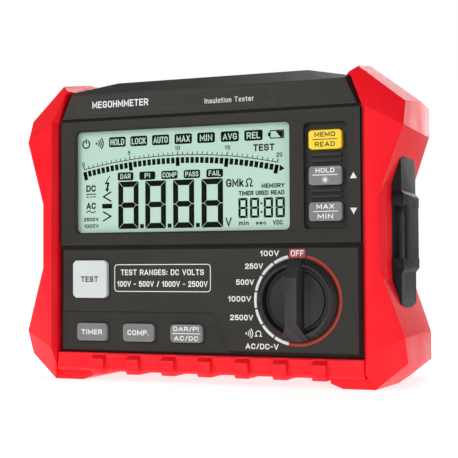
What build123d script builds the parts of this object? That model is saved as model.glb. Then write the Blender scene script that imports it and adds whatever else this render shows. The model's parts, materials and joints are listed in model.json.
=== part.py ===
from build123d import *
import os

# Insulation resistance tester, bench and carry type, drawn in millimetres.
# +Z is up, the front panel faces -Y, and the origin is the middle of the footprint on the table.

os.makedirs("parts", exist_ok=True)

# ---- driving dimensions ----
half_width = 101.0        # centre to the outside of a corner guard
body_half = 82.0          # centre to the side wall of the plastic case
hood_top = 154.7          # ridge of the hood above the display
body_bottom = 8.0         # underside of the plastic case
wall = 2.5

hood_y = -35.0            # face of the hood
panel_y = -34.0           # face of the display and control fields
field_y = -32.8           # lower key field, bottom left
edge_y = -32.2            # step around the fields
well_y = -31.5            # floor of the tall key well
inside_y = -29.5          # inner face of the front wall
parting_y = 0.0           # joint between front and rear cover
rear_y = 44.0             # back of the rear cover
guard_front_y = -38.5
guard_rear_y = 47.0
gap = 0.3                 # air between pieces that move past each other

window_x, window_z = -13.4, 102.45          # middle of the display window
window_wide, window_high = 116.8, 52.5
well_x, well_z = 63.25, 101.85              # middle of the tall key well
well_wide, well_high = 21.6, 51.3
key_travel = 1.2
tall_pitch = 17.25                          # keys in the tall well
low_pitch = 26.5                            # keys in the bottom row
low_key_x, low_key_z = -35.65, 25.1         # middle key of the bottom row

dial_x, dial_z = 49.0, 42.1
knob_r = 20.1
shaft_r = 4.0

board_front_y, board_rear_y = -20.0, -18.4
tray_half_x, tray_low_z, tray_high_z = 62.0, 11.2, 127.8
tray_front_y, tray_rim_y = 13.0, 41.5
door_front_y = tray_rim_y + gap
cell_r, cell_long, cell_pitch = 13.1, 50.0, 26.9
socket_pitch, socket_y, socket_bore_r = 24.0, 22.0, 2.03
waist_low, waist_high, waist_x = 51.5, 98.0, 92.0
bulge_low, bulge_high = 25.0, 124.5         # where the guard is widest, below and above the waist
lug_low, lug_high = 62.0, 87.5              # strap slot, bottom and top
lug_gap_x, lug_bar_x = 96.9, 98.8           # inner and outer face of the strap bar
rib_pitch, rib_wide, rib_shift = 19.65, 7.4, 1.3

# name: (middle x, middle z, width, height, top y, corner radius)
keys = {
    "test_button": (-62.65, 52.25, 19.9, 19.4, -36.2, 2.6),
    "memory_button": (well_x, well_z + tall_pitch, 16.6, 9.4, -34.3, 1.8),
    "hold_button": (well_x, well_z, 16.6, 9.2, -34.3, 1.8),
    "max_min_button": (well_x, well_z - tall_pitch, 16.6, 9.2, -34.3, 1.8),
    "timer_button": (low_key_x - low_pitch, low_key_z, 17.6, 9.2, -34.8, 2.0),
    "compare_button": (low_key_x, low_key_z, 17.6, 9.2, -34.8, 2.0),
    "ratio_button": (low_key_x + low_pitch, low_key_z, 17.6, 9.2, -34.8, 2.0),
}
case_screw_spots = [(-72.0, 15.3), (72.0, 15.3), (-69.5, 138.2), (69.5, 138.2)]
board_screw_spots = [(-58.0, 138.5), (58.0, 138.5), (-22.0, 14.8), (22.0, 14.8)]
socket_spots = [(socket_pitch * (i - 1.5), socket_y) for i in range(4)]
door_screw_x, door_screw_z = 66.5, 69.5
lug_screw_y, lug_screw_zs = -9.0, (58.5, 91.0)


def facing(y):
    """Plane at depth y whose sketch is drawn in X and Z, seen from the front."""
    return Plane.XZ.offset(-y)


def outline(plane, points):
    """A closed straight-sided face on a plane."""
    with BuildSketch(plane) as flat:
        with BuildLine():
            Polyline(points, close=True)
        make_face()
    return flat.sketch


def panel(y, x, z, wide, high, corner):
    """A rounded rectangle facing the viewer at depth y."""
    with BuildSketch(facing(y)) as flat:
        with Locations((x, z)):
            RectangleRounded(wide, high, corner)
    return flat.sketch


def discs(y, spots, radius):
    """Round faces at depth y, one at each (x, z)."""
    with BuildSketch(facing(y)) as flat:
        with Locations(*spots):
            Circle(radius)
    return flat.sketch


def slab(low, high, mode=Mode.ADD):
    """A box between two corners, added to the open block."""
    size = [b - a for a, b in zip(low, high)]
    middle = [(a + b) / 2 for a, b in zip(low, high)]
    with Locations(tuple(middle)):
        Box(*size, mode=mode)


def both_sides(points):
    """Closes a right-hand outline, listed from the bottom up, with its mirror image."""
    return points + [(-x, z) for x, z in reversed(points)]


def plane_through(a, b, c):
    """Plane on three points, with its normal by the right-hand rule a, b, c."""
    a, b, c = Vector(*a), Vector(*b), Vector(*c)
    return Plane(origin=a, z_dir=(b - a).cross(c - a))


def trim(a, b, c, inside):
    """Cuts the open part on the plane through a, b and c, and keeps the side where inside lies."""
    cut = plane_through(a, b, c)
    above = (Vector(*inside) - cut.origin).dot(cut.z_dir) > 0
    split(bisect_by=cut, keep=Keep.TOP if above else Keep.BOTTOM)


case_outline = both_sides([(body_half, body_bottom), (body_half, 133), (76.6, 149), (52, hood_top)])
case_inside = both_sides([(79.5, 10.5), (79.5, 132.5), (74.4, 146.6), (51.5, 152.1)])

# ---- front cover ----
control_bottom, control_half = 17.0, 78.9
with BuildPart() as front_cover:
    extrude(outline(facing(parting_y), case_outline), amount=parting_y - hood_y)
    # hood: the top leans back to the ridge, and both ends turn back to the guards
    core = (0, -10, 80)
    trim((0, hood_y, 147.9), (1, hood_y, 147.9), (0, -24, hood_top), inside=core)
    for side in (-1, 1):
        trim((side * 79, hood_y, 136), (side * body_half, edge_y, 133), (side * 73.6, hood_y, 147.9),
             inside=core)
    # display field sits a step below the hood, with a steep step down at both sides
    slab((-90, hood_y - 1, 0), (90, panel_y, 135.4), mode=Mode.SUBTRACT)
    slab((-90, hood_y - 1, 134.0), (90, panel_y + 1.5, 135.4), mode=Mode.SUBTRACT)
    for side in (-1, 1):
        low, high = sorted((side * 80.5, side * 90))
        slab((low, hood_y - 1, 66), (high, edge_y, 134.6), mode=Mode.SUBTRACT)
    # control field: bevelled on its top, bottom and both sides
    trench = [(panel_y - 1, 70.6), (panel_y, 69.7), (edge_y, 69.1), (edge_y, 68.7), (panel_y - 1, 66.2)]
    extrude(outline(Plane.YZ.offset(-90), trench), amount=180, mode=Mode.SUBTRACT)
    sill = [(panel_y - 1, control_bottom + 1.2), (-31.5, 14.5), (-31.0, 14.5), (-31.0, 0), (panel_y - 1, 0)]
    extrude(outline(Plane.YZ.offset(-90), sill), amount=180, mode=Mode.SUBTRACT)
    for side in (-1, 1):
        bevel = [(side * (control_half - 1), panel_y - 1), (side * body_half, -31.1),
                 (side * (body_half + 1), -31.1), (side * (body_half + 1), panel_y - 1)]
        extrude(outline(Plane.XY.offset(0), bevel), amount=68.9, mode=Mode.SUBTRACT)
    # lower key field, ended on the right by a bowed slanting wall
    with BuildSketch(facing(field_y)):
        with BuildLine():
            Polyline((13.5, 0), (-90, 0), (-90, 35.8), (5.4, 35.8))
            ThreePointArc((5.4, 35.8), (10.4, 26.4), (13.5, 15.9))
            Line((13.5, 15.9), (13.5, 0))
        make_face()
    extrude(amount=3, mode=Mode.SUBTRACT)
    # hollow behind the front wall, deeper inside the hood
    extrude(outline(facing(parting_y), case_inside), amount=parting_y + 20.5, mode=Mode.SUBTRACT)
    low_inside = [(x, min(z, 143.0)) for x, z in case_inside if abs(x) > 60]
    extrude(outline(facing(parting_y), low_inside), amount=parting_y - inside_y, mode=Mode.SUBTRACT)
    # display window and its seat for the clear lens
    extrude(panel(parting_y, window_x, window_z, window_wide, window_high, 2.5), amount=40,
            mode=Mode.SUBTRACT)
    rim = [e for e in front_cover.edges().filter_by_position(Axis.Y, panel_y - 0.01, panel_y + 0.01)
           if abs(e.center().X - window_x) < window_wide / 2 + 0.1
           and abs(e.center().Z - window_z) < window_high / 2 + 0.1]
    chamfer(rim, 0.9)
    extrude(panel(inside_y, window_x, window_z, window_wide + 6.4, window_high + 6.4, 2),
            amount=2.3, mode=Mode.SUBTRACT)
    # tall key well with its four grip bars
    extrude(panel(well_y, well_x, well_z, well_wide, well_high, 2.5), amount=5, mode=Mode.SUBTRACT)
    for row in (tall_pitch / 2, -tall_pitch / 2):
        for step in (-1.45, 1.45):
            slab((well_x - 7.7, -32.9, well_z + row + step - 0.65),
                 (well_x + 7.7, well_y, well_z + row + step + 0.65))
    # key openings
    for x, z, wide, high, top, corner in keys.values():
        extrude(panel(inside_y + 0.5, x, z, wide + 2 * gap, high + 2 * gap, corner + gap), amount=10,
                mode=Mode.SUBTRACT)
    # knob shaft opening, board bosses and case screw bosses
    extrude(discs(inside_y, board_screw_spots, 3.0), amount=inside_y - board_front_y)
    extrude(discs(inside_y, case_screw_spots, 3.6), amount=inside_y - parting_y)
    extrude(discs(parting_y, [(dial_x, dial_z)], shaft_r + 0.5), amount=40, mode=Mode.SUBTRACT)
    extrude(discs(board_front_y, board_screw_spots, 1.25), amount=7, mode=Mode.SUBTRACT)
    extrude(discs(parting_y, case_screw_spots, 1.55), amount=17, mode=Mode.SUBTRACT)
    # strap lug screw holes in both side walls, and the seal groove
    for z in lug_screw_zs:
        with BuildSketch(Plane.YZ.offset(-90)):
            with Locations((lug_screw_y, z)):
                Circle(1.55)
        extrude(amount=180, mode=Mode.SUBTRACT)
    seal_outer = both_sides([(81.2, 8.8), (81.2, 132.9), (75.9, 148.3), (51.9, 153.9)])
    seal_inner = both_sides([(80.3, 9.7), (80.3, 132.7), (75.1, 147.4), (51.7, 153.0)])
    extrude(outline(facing(parting_y), seal_outer) - outline(facing(parting_y), seal_inner),
            amount=1.2, mode=Mode.SUBTRACT)
front_cover.part.label = "front_cover"
export_step(front_cover.part, "parts/front_cover.step")

with BuildPart() as case_seal:
    extrude(outline(facing(parting_y), seal_outer) - outline(facing(parting_y), seal_inner), amount=1.2)
case_seal.part.label = "case_seal"
export_step(case_seal.part, "parts/case_seal.step")

# ---- rear cover ----
with BuildPart() as rear_cover:
    extrude(outline(facing(parting_y), case_outline), amount=parting_y - rear_y)
    extrude(outline(facing(parting_y), case_inside), amount=parting_y - (rear_y - wall), mode=Mode.SUBTRACT)
    # battery opening with two screw ears
    slab((-60.3, 30, 13.7), (60.3, 60, 125.3), mode=Mode.SUBTRACT)
    slab((-71.3, tray_rim_y, 61.7), (71.3, 60, 77.3), mode=Mode.SUBTRACT)
    for side in (-1, 1):
        low, high = sorted((side * 63.2, side * 79.8))
        slab((low, 24, 65.5), (high, tray_rim_y, 73.5))
        low, high = sorted((side * 63.2, side * 72.5))
        slab((low, tray_rim_y - 3, 60.5), (high, tray_rim_y, 78.5))
    door_spots = [(-door_screw_x, door_screw_z), (door_screw_x, door_screw_z)]
    extrude(discs(25, door_spots, 1.55), amount=-30, mode=Mode.SUBTRACT)
    # case screw bosses and their head seats
    extrude(discs(parting_y, case_screw_spots, 3.6), amount=parting_y - rear_y)
    extrude(discs(parting_y, case_screw_spots, 1.7), amount=-60, mode=Mode.SUBTRACT)
    extrude(discs(41.2, case_screw_spots, 3.1), amount=-20, mode=Mode.SUBTRACT)
    # four round openings in the top for the test lead sockets
    with BuildSketch(Plane.XY.offset(140)):
        with Locations(*socket_spots):
            Circle(7.1)
    extrude(amount=30, mode=Mode.SUBTRACT)
rear_cover.part.label = "rear_cover"
export_step(rear_cover.part, "parts/rear_cover.step")

with BuildPart() as case_screws:
    extrude(discs(-16, case_screw_spots, 1.5), amount=-57.2)
    extrude(discs(41.2, case_screw_spots, 2.9), amount=-2.2)
    for x, z in case_screw_spots:
        slab((x - 2.0, 42.4, z - 0.35), (x + 2.0, 45, z + 0.35), mode=Mode.SUBTRACT)
        slab((x - 0.35, 42.4, z - 2.0), (x + 0.35, 45, z + 2.0), mode=Mode.SUBTRACT)
case_screws.part.label = "case_screws"
export_step(case_screws.part, "parts/case_screws.step")

# ---- soft bottom grip between the guards ----
with BuildPart() as bottom_grip:
    channel = [(-31, body_bottom), (-31, 14.4), (-34.8, 14.4), (-35.6, 6.6), (-33.6, 5), (rear_y, 5),
               (rear_y, body_bottom)]
    extrude(outline(Plane.YZ.offset(-81.9), channel), amount=163.8)
    rib = [(-34.5, 13.8), (-38.1, 11.6), (-38.4, 6.4), (-35.8, 3.8), (rear_y - 1, 3.2), (rear_y, 4.0),
           (rear_y, 6), (-34.5, 6)]
    for i in range(-3, 4):
        middle = i * rib_pitch + rib_shift
        extrude(outline(Plane.YZ.offset(middle - rib_wide / 2), rib), amount=rib_wide)
bottom_grip.part.label = "bottom_grip"
export_step(bottom_grip.part, "parts/bottom_grip.step")

# ---- faceted corner guards ----
ridge_x, crease_y = 84.0, 7.0               # front ridge, and the depth where the outer side turns in
edge_front_y, edge_rear_x = -33.0, 97.3     # where the outer side starts at the front and ends at the back
crest_front, crest_back = (79.6, -32.4, 153.5), (78.4, -4.4, 158.0)
top_corner, low_corner = (half_width, crease_y, 140.7), (half_width, crease_y, 9.7)
ridge_high = (ridge_x, guard_front_y, 133.5)
ridge_low = (ridge_x, guard_front_y, 16.5)
shoulder_z = 149.7                          # height of the guard's inner top edge on the hood


def beyond(y_low, y_high, x_low, *cuts, keep=(115, 0, 75)):
    """The block outside of a slope: a box of the given depth, trimmed to the side where keep lies."""
    with BuildPart() as block:
        slab((x_low, y_low, -20), (130, y_high, 180))
        for cut in cuts:
            trim(*cut, inside=keep)
    return block.part


with BuildPart() as right_guard:
    blank = [(64, 2.4), (70, 0), (half_width, 0), (half_width, 160), (70, 160), (64, 140)]
    extrude(outline(facing(guard_rear_y), blank), amount=guard_rear_y - guard_front_y)
    core = (90, 0, 80)
    # front slope, and the upper and lower facets that lean back from it
    trim((ridge_x, guard_front_y, 0), (half_width, edge_front_y, 0), (ridge_x, guard_front_y, 1), inside=core)
    trim(ridge_high, (half_width, edge_front_y, bulge_high), crest_front, inside=core)
    trim(ridge_low, (half_width, edge_front_y, bulge_low), (86, -30, 0.2), inside=core)
    # outer side behind the crease
    trim((half_width, crease_y, 0), (edge_rear_x, guard_rear_y, 0), (half_width, crease_y, 1), inside=core)
    # top corner: front and rear facet, and the two facets that fall inwards to the hood
    trim(crest_front, crest_back, top_corner, inside=core)
    trim(crest_back, top_corner, (96.6, guard_rear_y, 142.6), inside=core)
    trim(crest_front, crest_back, (73.6, -33, shoulder_z), inside=core)
    trim(crest_back, (77, guard_rear_y, 155.5), (73.6, 0, shoulder_z), inside=core)
    # bottom corner, front and rear facet
    trim((86, -31, 0.2), (half_width, -26, 12.5), low_corner, inside=core)
    trim(low_corner, (96.5, guard_rear_y, 8.2), (85.5, -2.7, -3.4), inside=core)
    # waist that takes the strap lug, with a bevelled front edge
    waist_base = (waist_x, 0, waist_low), (waist_x, 1, waist_low), (half_width, 0, bulge_low)
    waist_roof = (waist_x, 0, waist_high), (waist_x, 1, waist_high), (half_width, 0, bulge_high)
    add(beyond(-60, crease_y, waist_x, waist_base, waist_roof), mode=Mode.SUBTRACT)
    bevel = (89.3, -36.8, 0), (waist_x, -32.9, 0), (89.3, -36.8, 1)
    add(beyond(-60, -20, 86, waist_base, waist_roof, bevel), mode=Mode.SUBTRACT)
    rear_wall = (waist_x, crease_y, 0), (88.5, guard_rear_y, 0), (waist_x, crease_y, 1)
    rear_base = (waist_x, crease_y, waist_low), (half_width, crease_y, bulge_low), (97.6, guard_rear_y, 22.4)
    rear_roof = (waist_x, crease_y, waist_high), (half_width, crease_y, bulge_high), (97.4, guard_rear_y, 127)
    add(beyond(crease_y, 60, 80, rear_wall, rear_base, rear_roof), mode=Mode.SUBTRACT)
    # room for the case, the bottom grip and the lip that looks at the panel
    extrude(outline(facing(rear_y), case_outline), amount=rear_y + 45, mode=Mode.SUBTRACT)
    slab((0, -45, 5), (body_half, rear_y, 20), mode=Mode.SUBTRACT)
    toe = [(0, -1), (85.5, -1), (85.5, 0.5), (82.5, 8), (body_half, 20), (0, 20)]
    extrude(outline(facing(-30), toe), amount=15, mode=Mode.SUBTRACT)
    slab((0, rear_y - 1, -1), (76.0, 60, 160), mode=Mode.SUBTRACT)
    lip = [(body_half - 0.1, -34.4), (ridge_x, guard_front_y - 0.1), (body_half - 0.1, guard_front_y - 0.1)]
    extrude(outline(Plane.XY, lip), amount=ridge_high[2], mode=Mode.SUBTRACT)
    with BuildPart() as lip_top:
        slab((60, -45, ridge_high[2]), (ridge_x, -30, 170))
        trim(ridge_high, (77, -36.2, 148), (body_half - 0.2, -34.4, ridge_high[2]), inside=(65, -44, 140))
    add(lip_top.part, mode=Mode.SUBTRACT)
    # hollows that keep the soft corners thin
    upper_hollow = [(body_half, 106), (88.0, 106), (95.5, 128), (95.5, 131), (body_half, 131)]
    lower_hollow = [(body_half, 44), (88.0, 44), (95.5, 24), (95.5, 17), (91, 12), (body_half, 12)]
    for hollow in (upper_hollow, lower_hollow):
        extrude(outline(facing(34), hollow), amount=34 + 22, mode=Mode.SUBTRACT)
    for z in lug_screw_zs:
        with BuildSketch(Plane.YZ.offset(body_half - 1)):
            with Locations((lug_screw_y, z)):
                Circle(1.55)
        extrude(amount=20, mode=Mode.SUBTRACT)
right_guard.part.label = "right_guard"
export_step(right_guard.part, "parts/right_guard.step")

with BuildPart() as left_guard:
    mirror(right_guard.part, about=Plane.YZ)
left_guard.part.label = "left_guard"
export_step(left_guard.part, "parts/left_guard.step")

# ---- strap lugs in the waist of each guard ----
lug_root_x, lug_face_x = waist_x - 0.9, 96.6  # the root is cut to the shape of the waist
lug_front_y, lug_rear_y = -19.4, 17.0
collar_high, collar_out, collar_x = 7.0, 1.2, 99.2  # height, and how far it stands out to the front and side
slot_floor = 0.3                            # thickness of the dark plate behind the strap
with BuildPart() as right_strap_lug:
    with BuildSketch(Plane.YZ.offset(lug_root_x)):
        with BuildLine():
            Line((lug_front_y, 40.5), (lug_front_y, 109.5))
            ThreePointArc((lug_front_y, 109.5), (-2, 112.6), (lug_rear_y, 108.5))
            Line((lug_rear_y, 108.5), (lug_rear_y, 41.5))
            ThreePointArc((lug_rear_y, 41.5), (-2, 37.6), (lug_front_y, 40.5))
        make_face()
    extrude(amount=lug_face_x - lug_root_x)
    # a collar above and below the strap slot, bevelled on the side away from the slot
    for near, away in ((lug_low, -1), (lug_high, 1)):
        collar = [(lug_root_x, near), (collar_x, near), (collar_x, near + away * (collar_high - 2.4)),
                  (lug_face_x, near + away * collar_high), (lug_root_x, near + away * collar_high)]
        extrude(outline(facing(lug_rear_y), collar), amount=lug_rear_y - lug_front_y + collar_out)
        front = lug_front_y - collar_out
        front_cut = [(front - 1, near + away * (collar_high - 4.8)),
                     (front, near + away * (collar_high - 2.4)),
                     (lug_front_y, near + away * collar_high), (front - 1, near + away * 12)]
        extrude(outline(Plane.YZ.offset(waist_x - 5), front_cut), amount=20, mode=Mode.SUBTRACT)
    # strap slot, and the bar that crosses it
    slab((waist_x + slot_floor, -30, lug_low), (lug_face_x + 5, 30, lug_high), mode=Mode.SUBTRACT)
    slab((lug_gap_x, -14.6, lug_low - 1), (lug_bar_x, 14, lug_high + 1))
    # the outer face slants at the front, and its back turns in towards the case
    front_turn = (97.8, lug_front_y - collar_out, 0), (collar_x, -4, 0), (97.8, lug_front_y - collar_out, 1)
    trim(*front_turn, inside=(94, 0, 80))
    rear_turn = (lug_bar_x + 0.6, 9, 0), (lug_face_x - 2.2, lug_rear_y, 0), (lug_bar_x + 0.6, 9, 1)
    trim(*rear_turn, inside=(94, 0, 80))
    add(right_guard.part, mode=Mode.SUBTRACT)
    for z in lug_screw_zs:
        with BuildSketch(Plane.YZ.offset(waist_x - 5)):
            with Locations((lug_screw_y, z)):
                Circle(1.55)
        extrude(amount=8.4, mode=Mode.SUBTRACT)
right_strap_lug.part.label = "right_strap_lug"
export_step(right_strap_lug.part, "parts/right_strap_lug.step")

with BuildPart() as left_strap_lug:
    mirror(right_strap_lug.part, about=Plane.YZ)
left_strap_lug.part.label = "left_strap_lug"
export_step(left_strap_lug.part, "parts/left_strap_lug.step")

with BuildPart() as lug_screws:
    for side in (-1, 1):
        side_plane = Plane(origin=(side * 79.5, lug_screw_y, 0), z_dir=(side, 0, 0), x_dir=(0, 1, 0))
        for z in lug_screw_zs:
            with BuildSketch(side_plane) as shank:
                with Locations((0, side * z)):
                    Circle(1.5)
            extrude(shank.sketch, amount=15.4)
            with BuildSketch(side_plane) as head:
                with Locations((0, side * z)):
                    Circle(2.8)
            extrude(head.sketch, amount=-2.2)
lug_screws.part.label = "lug_screws"
export_step(lug_screws.part, "parts/lug_screws.step")

# ---- display stack ----
with BuildPart() as display_window:
    extrude(panel(-30.6, window_x, window_z, window_wide + 6, window_high + 6, 1.8), amount=1.2)
display_window.part.label = "display_window"
export_step(display_window.part, "parts/display_window.step")

with BuildPart() as display_glass:
    extrude(panel(-28.2, window_x, window_z, window_wide + 4.2, window_high + 4.5, 0.8), amount=2.2)
display_glass.part.label = "display_glass"
export_step(display_glass.part, "parts/display_glass.step")

with BuildPart() as backlight:
    extrude(panel(-24.5, window_x, window_z, window_wide - 1, window_high - 1, 0.8), amount=3.5)
backlight.part.label = "backlight"
export_step(backlight.part, "parts/backlight.step")

with BuildPart() as display_frame:
    extrude(panel(board_front_y - 0.2, window_x, window_z, window_wide + 9, window_high + 9, 1.5), amount=9.1)
    extrude(panel(board_front_y, window_x, window_z, window_wide + 4.8, window_high + 5.1, 1.0), amount=12,
            mode=Mode.SUBTRACT)
display_frame.part.label = "display_frame"
export_step(display_frame.part, "parts/display_frame.step")

with BuildPart() as contact_strips:
    for side in (-1, 1):
        z = window_z + side * (window_high / 2 + 1.0)
        slab((window_x - 50, -28.0, z - 1.0), (window_x + 50, board_front_y - 0.1, z + 1.0))
contact_strips.part.label = "contact_strips"
export_step(contact_strips.part, "parts/contact_strips.step")

# ---- circuit board and what stands on it ----
with BuildPart() as main_board:
    slab((-68.5, board_front_y, 11.8), (68.5, board_rear_y, 142))
    for x, z in case_screw_spots:
        slab((x - 5.5, -25, z - 7.5), (x + 5.5, -10, z + 9.0), mode=Mode.SUBTRACT)
    extrude(discs(board_rear_y + 1, board_screw_spots, 1.25), amount=8, mode=Mode.SUBTRACT)
    extrude(discs(board_rear_y + 1, [(dial_x, dial_z)], shaft_r + 1), amount=8, mode=Mode.SUBTRACT)
main_board.part.label = "main_board"
export_step(main_board.part, "parts/main_board.step")

with BuildPart() as board_screws:
    extrude(discs(board_rear_y, board_screw_spots, 1.2), amount=7)
    extrude(discs(board_rear_y, board_screw_spots, 2.6), amount=-1.8)
board_screws.part.label = "board_screws"
export_step(board_screws.part, "parts/board_screws.step")

with BuildPart() as key_switches:
    for x, z, wide, high, top, corner in keys.values():
        slab((x - 2.6, -22.0, z - 2.6), (x + 2.6, board_front_y, z + 2.6))
        extrude(discs(-22.0, [(x, z)], 1.5), amount=0.6)
key_switches.part.label = "key_switches"
export_step(key_switches.part, "parts/key_switches.step")

core_x, core_z = -44.0, 40.0
with BuildPart() as transformer_core:
    slab((core_x - 15, board_rear_y + 1, core_z - 13), (core_x + 15, 2, core_z + 13))
    for side in (-1, 1):
        low, high = sorted((core_x + side * 4.5, core_x + side * 11))
        slab((low, -30, core_z - 8.5), (high, 10, core_z + 8.5), mode=Mode.SUBTRACT)
transformer_core.part.label = "transformer_core"
export_step(transformer_core.part, "parts/transformer_core.step")

with BuildPart() as transformer_winding:
    slab((core_x - 10.8, board_rear_y + 1, core_z - 8.3), (core_x + 10.8, 7, core_z + 8.3))
    slab((core_x - 4.7, -30, core_z - 9), (core_x + 4.7, 2.2, core_z + 9), mode=Mode.SUBTRACT)
transformer_winding.part.label = "transformer_winding"
export_step(transformer_winding.part, "parts/transformer_winding.step")

with BuildPart() as voltage_module:
    slab((-18, board_rear_y, 28), (22, -3, 62))
voltage_module.part.label = "voltage_module"
export_step(voltage_module.part, "parts/voltage_module.step")

with BuildPart() as filter_capacitors:
    extrude(discs(board_rear_y, [(x, 84) for x in (-56, -42, -28)], 6.0), amount=-17)
filter_capacitors.part.label = "filter_capacitors"
export_step(filter_capacitors.part, "parts/filter_capacitors.step")

with BuildPart() as relays:
    for x in (-4, 20, 44):
        slab((x, board_rear_y, 92), (x + 19, -6, 102))
relays.part.label = "relays"
export_step(relays.part, "parts/relays.step")

with BuildPart() as fuse:
    with BuildSketch(Plane.YZ.offset(20)):
        with Locations((-12, 76)):
            Circle(2.6)
    extrude(amount=22)
fuse.part.label = "fuse"
export_step(fuse.part, "parts/fuse.step")

with BuildPart() as fuse_clips:
    for x in (21.5, 35.5):
        slab((x, board_rear_y, 72.5), (x + 5, -11.5, 79.5))
    with BuildSketch(Plane.YZ.offset(20)):
        with Locations((-12, 76)):
            Circle(2.65)
    extrude(amount=22, mode=Mode.SUBTRACT)
fuse_clips.part.label = "fuse_clips"
export_step(fuse_clips.part, "parts/fuse_clips.step")

with BuildPart() as buzzer:
    extrude(discs(board_rear_y, [(56, 118)], 8.0), amount=-8)
    extrude(discs(-10, [(56, 118)], 1.2), amount=6, mode=Mode.SUBTRACT)
buzzer.part.label = "buzzer"
export_step(buzzer.part, "parts/buzzer.step")

with BuildPart() as logic_chips:
    for x, z, size in ((-6, 118, 14), (18, 118, 10), (-34, 118, 10), (-56, 64, 8)):
        slab((x - size / 2, board_rear_y, z - size / 2), (x + size / 2, board_rear_y + 1.6, z + size / 2))
logic_chips.part.label = "logic_chips"
export_step(logic_chips.part, "parts/logic_chips.step")

# ---- range switch and knob ----
with BuildPart() as range_switch_base:
    extrude(discs(board_front_y, [(dial_x, dial_z)], 17.0), amount=4)
    extrude(discs(0, [(dial_x, dial_z)], shaft_r + 0.05), amount=40, mode=Mode.SUBTRACT)
range_switch_base.part.label = "range_switch_base"
export_step(range_switch_base.part, "parts/range_switch_base.step")

with BuildPart() as switch_rotor:
    extrude(discs(-24.4, [(dial_x, dial_z)], 13.5), amount=2.4)
    extrude(discs(0, [(dial_x, dial_z)], shaft_r), amount=40, mode=Mode.SUBTRACT)
    with BuildSketch(facing(-26.8)):
        with Locations((dial_x, dial_z)):
            with PolarLocations(13.9, 16):
                Circle(1.0)
    extrude(amount=-2.4, mode=Mode.SUBTRACT)
switch_rotor.part.label = "switch_rotor"
export_step(switch_rotor.part, "parts/switch_rotor.step")

with BuildPart() as detent_spring:
    extrude(discs(-24.0, [(dial_x, dial_z)], 15.6), amount=3)
    extrude(discs(-24.0, [(dial_x, dial_z)], 14.6), amount=3, mode=Mode.SUBTRACT)
    slab((dial_x - 20, -30, dial_z - 20), (dial_x + 20, -20, dial_z + 4), mode=Mode.SUBTRACT)
detent_spring.part.label = "detent_spring"
export_step(detent_spring.part, "parts/detent_spring.step")

knob_back = -panel_y + gap                  # height of the knob's underside above the row origin
knob_high = 44.9 - knob_back                # underside to the top of the grip bar
pin_r = 2.2                                 # thin end of the shaft, pressed into the knob
bar_top_half, bar_foot_half, bar_flat, tail_half = 2.9, 3.9, 11.0, 6.6

with BuildPart() as knob_shaft:
    extrude(discs(board_front_y + 0.6, [(dial_x, dial_z)], shaft_r - 0.02), amount=13)
    extrude(discs(board_front_y - 12.4, [(dial_x, dial_z)], pin_r), amount=7.6)
    slab((dial_x + 1.4, -41, dial_z - 6), (dial_x + 6, -35, dial_z + 6), mode=Mode.SUBTRACT)
knob_shaft.part.label = "knob_shaft"
export_step(knob_shaft.part, "parts/knob_shaft.step")

with BuildPart() as grip_bar:
    # flat in the middle, both ends slope down to the rim, the lower end widens
    bar_side = [(-knob_back - 0.4, dial_z - 19.7), (-knob_back - 3.2, dial_z - 19.7),
                (-knob_back - knob_high, dial_z - bar_flat), (-knob_back - knob_high, dial_z + bar_flat),
                (-knob_back - 3.2, dial_z + 19.7), (-knob_back - 0.4, dial_z + 19.7)]
    extrude(outline(Plane.YZ.offset(dial_x - bar_foot_half), bar_side), amount=2 * bar_foot_half)
    for side in (-1, 1):
        trim((dial_x + side * bar_foot_half, -knob_back - 1, 0),
             (dial_x + side * bar_top_half, -knob_back - knob_high, 0),
             (dial_x + side * bar_foot_half, -knob_back - 1, 1), inside=(dial_x, -knob_back, dial_z))

with BuildPart() as rotary_knob:
    with BuildSketch(Plane(origin=(dial_x, -knob_back, dial_z), x_dir=(1, 0, 0), z_dir=(0, 0, 1))):
        with BuildLine():
            Polyline((0, 0), (knob_r, 0), (knob_r, -1.8), (17.8, -4.2), (16.6, -4.2), (15.5, -0.7),
                     (14.3, -0.7), (13.8, -1.4), (0, -1.4), close=True)
        make_face()
    revolve(axis=Axis((dial_x, -knob_back, dial_z), (0, -1, 0)))
    add(grip_bar.part)
    tail = [(dial_x - bar_top_half, dial_z - 9.0), (dial_x - bar_top_half, dial_z - bar_flat),
            (dial_x - tail_half, dial_z - 19.0), (dial_x + tail_half, dial_z - 19.0),
            (dial_x + bar_top_half, dial_z - bar_flat), (dial_x + bar_top_half, dial_z - 9.0)]
    extrude(outline(facing(-knob_back - 0.4), tail), amount=knob_high - 0.4)
    trim((0, -knob_back - 3.2, dial_z - 19.7), (1, -knob_back - 3.2, dial_z - 19.7),
         (0, -knob_back - knob_high, dial_z - bar_flat), inside=(dial_x, -knob_back, dial_z))
    extrude(discs(-30, [(dial_x, dial_z)], pin_r + 0.02), amount=10.1, mode=Mode.SUBTRACT)
rotary_knob.part.label = "rotary_knob"
export_step(rotary_knob.part, "parts/rotary_knob.step")

# ---- keys: cap, retaining flange and plunger in one moulding ----
for name, (x, z, wide, high, top, corner) in keys.items():
    with BuildPart() as key:
        extrude(panel(inside_y + gap, x, z, wide, high, corner), amount=inside_y + gap - top)
        crown = key.faces().sort_by(Axis.Y)[0]
        fillet(crown.edges(), radius=0.8)
        extrude(panel(inside_y + gap + 1.0, x, z, wide + 2.4, high + 2.4, corner), amount=1.0)
        extrude(discs(-24.0, [(x, z)], 2.0), amount=4.4)
    key.part.label = name
    export_step(key.part, f"parts/{name}.step")

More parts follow.
